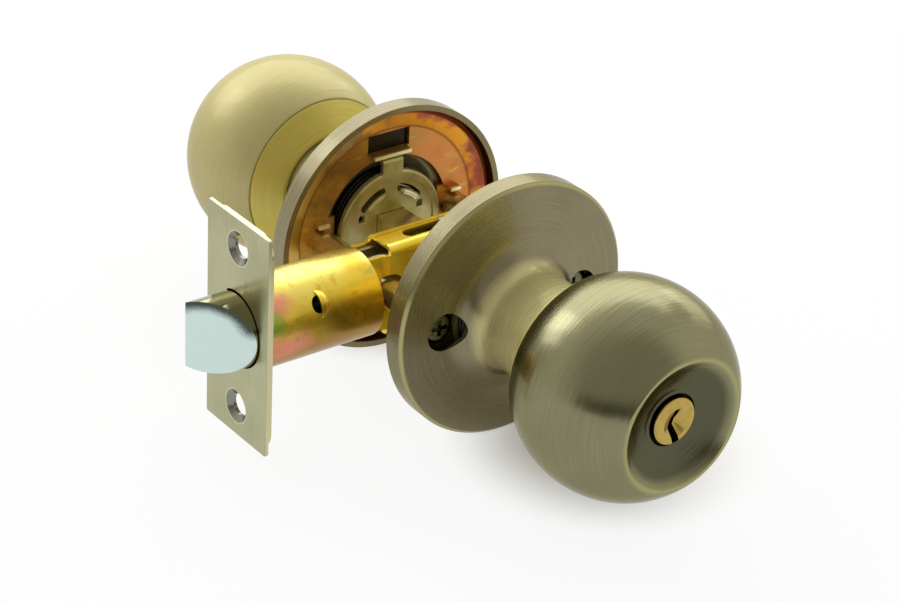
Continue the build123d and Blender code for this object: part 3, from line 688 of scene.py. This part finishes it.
# Folded ends of the sleeve tabs, four on each drive disc, in metres and degrees
fold = {
    "Radius": 0.00955,
    "Width": 0.0011,
    "Thickness": 0.0005,
    "Reach": 30.0,
    "Lean": 33.0,
    "Along": doorFace + 0.0006,
}
tabCount = 4
bendSteps = 16


def foldTree():
    tree = bpy.data.node_groups.new("foldedTabs", "GeometryNodeTree")
    tree.interface.new_socket("Geometry", in_out="OUTPUT", socket_type="NodeSocketGeometry")
    for label in fold:
        tree.interface.new_socket(label, in_out="INPUT", socket_type="NodeSocketFloat")
    tree.interface.new_socket("Material", in_out="INPUT", socket_type="NodeSocketMaterial")
    graph = Graph(tree)
    given = {label: graph.node("NodeGroupInput", output=label) for label in [*fold, "Material"]}
    sweep = given["Reach"] * math.radians(1.0)
    bend = {"Resolution": bendSteps, "Radius": given["Radius"]}
    bend.update({"Start Angle": sweep * -0.5, "Sweep Angle": sweep})
    arc = graph.node("GeometryNodeCurveArc", {"mode": "RADIUS"}, bend)
    flat = {"Width": given["Width"], "Height": given["Thickness"]}
    section = graph.node("GeometryNodeCurvePrimitiveQuadrilateral", inputs=flat)
    swept = {"Curve": arc, "Profile Curve": section, "Fill Caps": True}
    strip = graph.node("GeometryNodeCurveToMesh", inputs=swept)
    number = graph.node("GeometryNodeInputIndex")
    side = number.math("MODULO", number, 2.0) * 2.0 - 1.0
    half = number.math("FLOOR", number * 0.5)
    angle = (side * given["Lean"] + half * 180.0 + 90.0) * math.radians(1.0)
    spots = graph.node("GeometryNodePoints", inputs={"Count": tabCount})
    spread = {"Points": spots, "Instance": strip, "Rotation": graph.join(0.0, 0.0, angle)}
    ring = graph.node("GeometryNodeInstanceOnPoints", inputs=spread)
    upright = (math.radians(90.0), 0.0, 0.0)
    shift = graph.join(0.0, given["Along"], 0.0)
    standing = {"Geometry": ring, "Rotation": upright, "Translation": shift}
    stood = graph.node("GeometryNodeTransform", inputs=standing)
    real = graph.node("GeometryNodeRealizeInstances", inputs=[stood])
    dressed = graph.node("GeometryNodeSetMaterial", inputs={"Geometry": real, "Material": given["Material"]})
    graph.node("NodeGroupOutput", inputs=[dressed])
    return tree


def foldedTabs(name, tree, sizes):
    piece = bpy.data.objects.new(name, bpy.data.meshes.new(name))
    bpy.context.scene.collection.objects.link(piece)
    modifier = piece.modifiers.new(name, "NODES")
    modifier.node_group = tree
    for item in tree.interface.items_tree:
        if item.in_out == "INPUT":
            modifier[item.identifier] = sizes[item.name]
    evaluated = piece.evaluated_get(bpy.context.evaluated_depsgraph_get())
    mesh = bpy.data.meshes.new_from_object(evaluated)
    piece.modifiers.clear()
    piece.data = mesh
    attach(piece, "knobs")


tabs = foldTree()
foldedTabs("inside_folded_tabs", tabs, {**fold, "Material": paleSteel})
foldedTabs("outside_folded_tabs", tabs, {**fold, "Along": -fold["Along"], "Material": paleSteel})
print("folded tabs done")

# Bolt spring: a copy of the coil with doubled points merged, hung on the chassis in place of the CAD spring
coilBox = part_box("bolt_spring")
coil = {"travel": 0.0115, "length": coilBox[1].x - coilBox[0].x, "merge": 0.000001}
coilMesh = nodes["bolt_spring"].data.copy()
coilShell = bmesh.new()
coilShell.from_mesh(coilMesh)
bmesh.ops.remove_doubles(coilShell, verts=coilShell.verts, dist=coil["merge"])
coilShell.to_mesh(coilMesh)
coilShell.free()
boltCoil = bpy.data.objects.new("bolt_coil", coilMesh)
bpy.context.scene.collection.objects.link(boltCoil)
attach(boltCoil, "chassis")
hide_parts("bolt_spring")
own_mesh(boltCoil)

# Camera at the photo's view
view = {
    "azimuth": math.radians(-38.111),
    "elevation": math.radians(29.29),
    "roll": math.radians(3.159),
    "distance": 0.68905,
    "target": Vector((0.002149, 0.0, -0.011121)),
    "focal": 2809.9,
    "imageWidth": 900.0,
    "sensor": 36.0,
}
back = Vector(
    (
        math.sin(view["azimuth"]) * math.cos(view["elevation"]),
        -math.cos(view["azimuth"]) * math.cos(view["elevation"]),
        math.sin(view["elevation"]),
    )
)
levelRight = (-back).cross(Vector((0, 0, 1))).normalized()
levelUp = levelRight.cross(-back)
right = levelRight * math.cos(view["roll"]) + levelUp * math.sin(view["roll"])
up = levelUp * math.cos(view["roll"]) - levelRight * math.sin(view["roll"])


def aimed(position, acrossAxis, upAxis, backAxis):
    turn = Matrix((acrossAxis, upAxis, backAxis)).transposed().to_4x4()
    return Matrix.Translation(position) @ turn


lens = bpy.data.cameras.new("photoCamera")
lens.sensor_width = view["sensor"]
lens.lens = view["focal"] / view["imageWidth"] * view["sensor"]
camera = bpy.data.objects.new("photoCamera", lens)
camera.matrix_world = aimed(view["target"] + back * view["distance"], right, up, back)
bpy.context.scene.collection.objects.link(camera)
bpy.context.scene.camera = camera
print("camera done")

# Soft boxes, placed by how far right, up and back towards the camera they stand
softBoxes = {
    "mainBox": {"side": (-0.2, 0.88, -0.36), "distance": 0.9, "size": (1.5, 0.75), "glow": 1.85},
    "leftBox": {"side": (-0.76, 0.62, -0.17), "distance": 0.9, "size": (0.42, 0.36), "glow": 2.1},
    "rightBox": {"side": (0.52, 0.65, -0.55), "distance": 1.0, "size": (0.4, 0.4), "glow": 1.4},
}
for name, box in softBoxes.items():
    lamp = bpy.data.lights.new(name, "AREA")
    lamp.shape = "RECTANGLE"
    lamp.size, lamp.size_y = box["size"]
    lamp.energy = box["glow"] * math.pi * lamp.size * lamp.size_y
    away = (levelRight * box["side"][0] + levelUp * box["side"][1] + back * box["side"][2]).normalized()
    lampUp = away.cross(levelRight).normalized()
    stand = bpy.data.objects.new(name, lamp)
    stand.matrix_world = aimed(away * box["distance"], lampUp.cross(away), lampUp, away)
    stand.visible_camera = False
    bpy.context.scene.collection.objects.link(stand)

# The room: pale all round, dimmer towards the camera and dark low down behind it
room = {
    "pale": (0.95, 0.93, 0.86, 1.0),
    "front": (0.52, 0.5, 0.45, 1.0),
    "dark": (0.08, 0.08, 0.06, 1.0),
    "frontEdge": 0.3,
    "frontFull": 0.7,
    "darkEdge": 0.55,
    "darkFull": 0.85,
    "darkHeight": 0.3,
    "darkLow": 0.12,
}
world = bpy.data.worlds.new("room")
bpy.context.scene.world = world
world.use_nodes = True
air = Graph(world.node_tree)
heading = air.node("ShaderNodeTexCoord", output="Generated")
behind = Vector((back.x, back.y, 0.0)).normalized()
dot = {"operation": "DOT_PRODUCT"}
towards = air.node("ShaderNodeVectorMath", dot, [heading, tuple(back)], output="Value")
level = air.node("ShaderNodeVectorMath", dot, [heading, tuple(behind)], output="Value")
low = air.smooth(air.split(heading)[2], room["darkHeight"], room["darkLow"])
shade = air.blend(air.smooth(towards, room["frontEdge"], room["frontFull"]), room["pale"], room["front"])
shade = air.blend(air.smooth(level, room["darkEdge"], room["darkFull"]) * low, shade, room["dark"])
sky = air.node("ShaderNodeBackground", inputs=[shade, 1.0])
air.node("ShaderNodeOutputWorld", inputs=[sky])

# Pale floor that the roses stand on: it glows white to the camera, less so close under the knobs
floorSize = {
    "half": 3.0,
    "gap": 0.0001,
    "glow": 0.9,
    "darkX": 0.017,
    "darkY": 0.045,
    "darkInner": 0.012,
    "darkOuter": 0.042,
    "matt": (0.86, 0.86, 0.86, 1.0),
    "white": (1.0, 1.0, 1.0, 1.0),
}
floorMesh = bpy.data.meshes.new("floor")
half = floorSize["half"]
height = cadBox[0][2] - floorSize["gap"]
corners = [(-half, -half), (half, -half), (half, half), (-half, half)]
floorMesh.from_pydata([(x, y, height) for x, y in corners], [], [(0, 1, 2, 3)])
floor = bpy.data.objects.new("floor", floorMesh)
bpy.context.scene.collection.objects.link(floor)
paper, graph = newMaterial("paleFloor")
rays = ("Is Camera Ray", "Is Glossy Ray", "Is Transmission Ray")
cameraRay, glossyRay, throughRay = [graph.node("ShaderNodeLightPath", output=name) for name in rays]
direct = cameraRay.math("MAXIMUM", cameraRay, glossyRay)
direct = direct.math("MAXIMUM", direct, throughRay)
x, y, _ = graph.split(graph.place())
away = ((x - floorSize["darkX"]) ** 2.0 + (abs(y) - floorSize["darkY"]) ** 2.0) ** 0.5
share = graph.smooth(away, floorSize["darkInner"], floorSize["darkOuter"]) * floorSize["glow"]
matt = graph.node("ShaderNodeBsdfDiffuse", inputs=[floorSize["matt"]])
glow = graph.node("ShaderNodeEmission", inputs=[floorSize["white"], 1.0])
sheet = graph.node("ShaderNodeMixShader", inputs=[direct * share, matt, glow])
graph.node("ShaderNodeOutputMaterial", inputs=[sheet])
floorMesh.materials.append(paper)
bpy.context.scene.view_settings.view_transform = "Standard"
print("light and floor done")
